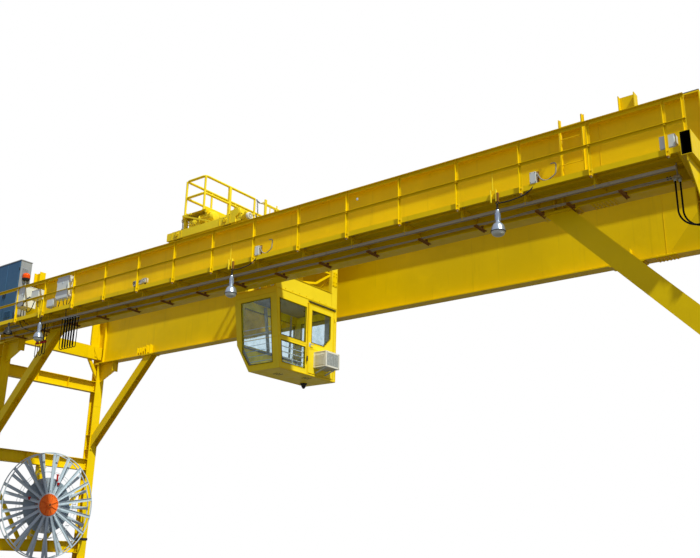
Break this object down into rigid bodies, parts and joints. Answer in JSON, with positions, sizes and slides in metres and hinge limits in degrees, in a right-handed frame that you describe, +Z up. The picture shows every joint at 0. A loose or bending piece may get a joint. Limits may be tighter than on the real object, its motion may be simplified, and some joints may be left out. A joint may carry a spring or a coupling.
{
  "type": "gantry crane",
  "caption": "Double-girder gantry crane on two braced leg frames, with a travelling trolley, a hanging operator's cab, a side walkway and a spoked cable reel.",
  "frame": {"origin": "on the ground, at the centre of the crane's outline", "axes": "+Z up, +X along the girders, -Y on the walkway side"},
  "size_m": [24.2, 7.18, 12.739],
  "materials": {
    "yellow_paint": "gloss",
    "yellow_machinery": "gloss",
    "cabinet_paint": "satin",
    "grey_box": "satin",
    "galvanised": "galvanised",
    "dark_steel": "worn",
    "rail_steel": "worn",
    "motor_grey": "satin",
    "red_motor": "satin",
    "orange_hub": "satin",
    "rubber": "matt",
    "cable": "matt",
    "glass": "clear",
    "white_plastic": "matt"
  },
  "bodies": {
    "crane_frame": {"near_girder": "yellow_paint", "far_girder": "yellow_paint", "girder_end_ties": "yellow_paint", "left_legs": "yellow_paint", "right_legs": "yellow_paint", "left_cross_ties": "yellow_paint", "right_cross_ties": "yellow_paint", "left_sill": "yellow_paint", "right_sill": "yellow_paint", "leg_braces": "yellow_paint", "knee_braces": "yellow_paint", "haunch_plates": "yellow_paint", "end_trucks": "yellow_paint", "truck_wheels": "dark_steel", "travel_drives": "motor_grey", "truck_buffers": "rubber", "trolley_rails": "rail_steel", "trolley_stops": "yellow_paint", "walkway_deck": "yellow_paint", "walkway_brackets": "yellow_paint", "walkway_handrail": "yellow_paint", "girder_ladder": "yellow_paint", "electrical_cabinet": "cabinet_paint", "control_boxes": "grey_box", "pendant_lamps": "galvanised", "festoon_track": "galvanised", "festoon_cables": "cable", "supply_cables": "cable", "reel_stand": "yellow_paint", "reel_motor": "red_motor"},
    "cable_reel": {"reel_wheel": "galvanised", "reel_hub": "orange_hub"},
    "trolley": {"trolley_frame": "yellow_machinery", "trolley_wheels": "dark_steel", "trolley_handrail": "yellow_machinery", "hoist_drum": "dark_steel", "hoist_drive": "yellow_machinery", "hoist_ropes": "rail_steel", "hook_block": "yellow_machinery", "cab_shell": "yellow_machinery", "cab_windows": "glass", "cab_hangers": "yellow_machinery"},
    "door": {"cab_door": "yellow_machinery", "cab_door_window": "glass", "cab_air_conditioner": "white_plastic"}
  },
  "joints": [
    {"name": "trolley_travel", "type": "slide", "parent": "crane_frame", "child": "trolley", "axis": [1, 0, 0], "range_m": [-6.5, 9.85]},
    {"name": "cab_door_swing", "type": "hinge", "parent": "trolley", "child": "door", "pos_m": [0.416, 1.025, 7.5], "axis": [0, 0, 1], "range_deg": [0, 90]},
    {"name": "cable_reel_turn", "type": "hinge", "parent": "crane_frame", "child": "cable_reel", "pos_m": [-11.23, 0, 3.48], "axis": [1, 0, 0], "continuous": true}
  ]
}
